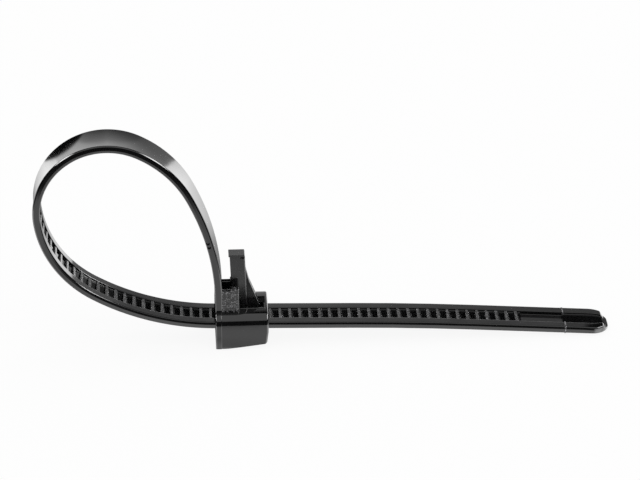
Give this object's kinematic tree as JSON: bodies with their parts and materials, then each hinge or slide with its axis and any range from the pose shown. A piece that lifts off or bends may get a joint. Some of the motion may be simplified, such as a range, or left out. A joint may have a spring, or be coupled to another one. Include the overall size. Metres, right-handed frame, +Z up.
{
  "type": "cable tie",
  "caption": "Releasable nylon cable tie threaded through its own head into a teardrop loop, with a ladder of rungs along the strap and a release lever on the head.",
  "frame": {"origin": "on the flat foot under the head's flange, at mid width, below the middle of the strap where it rises from the head", "axes": "+X runs along the tail from the head to the tip, +Y runs across the strap's width, +Z points up from the floor the tie stands on"},
  "size_m": [0.1092, 0.0116, 0.0428],
  "materials": {
    "nylon": "glossy black moulded nylon"
  },
  "bodies": {
    "root": {"cable_tie": "nylon"}
  },
  "joints": []
}
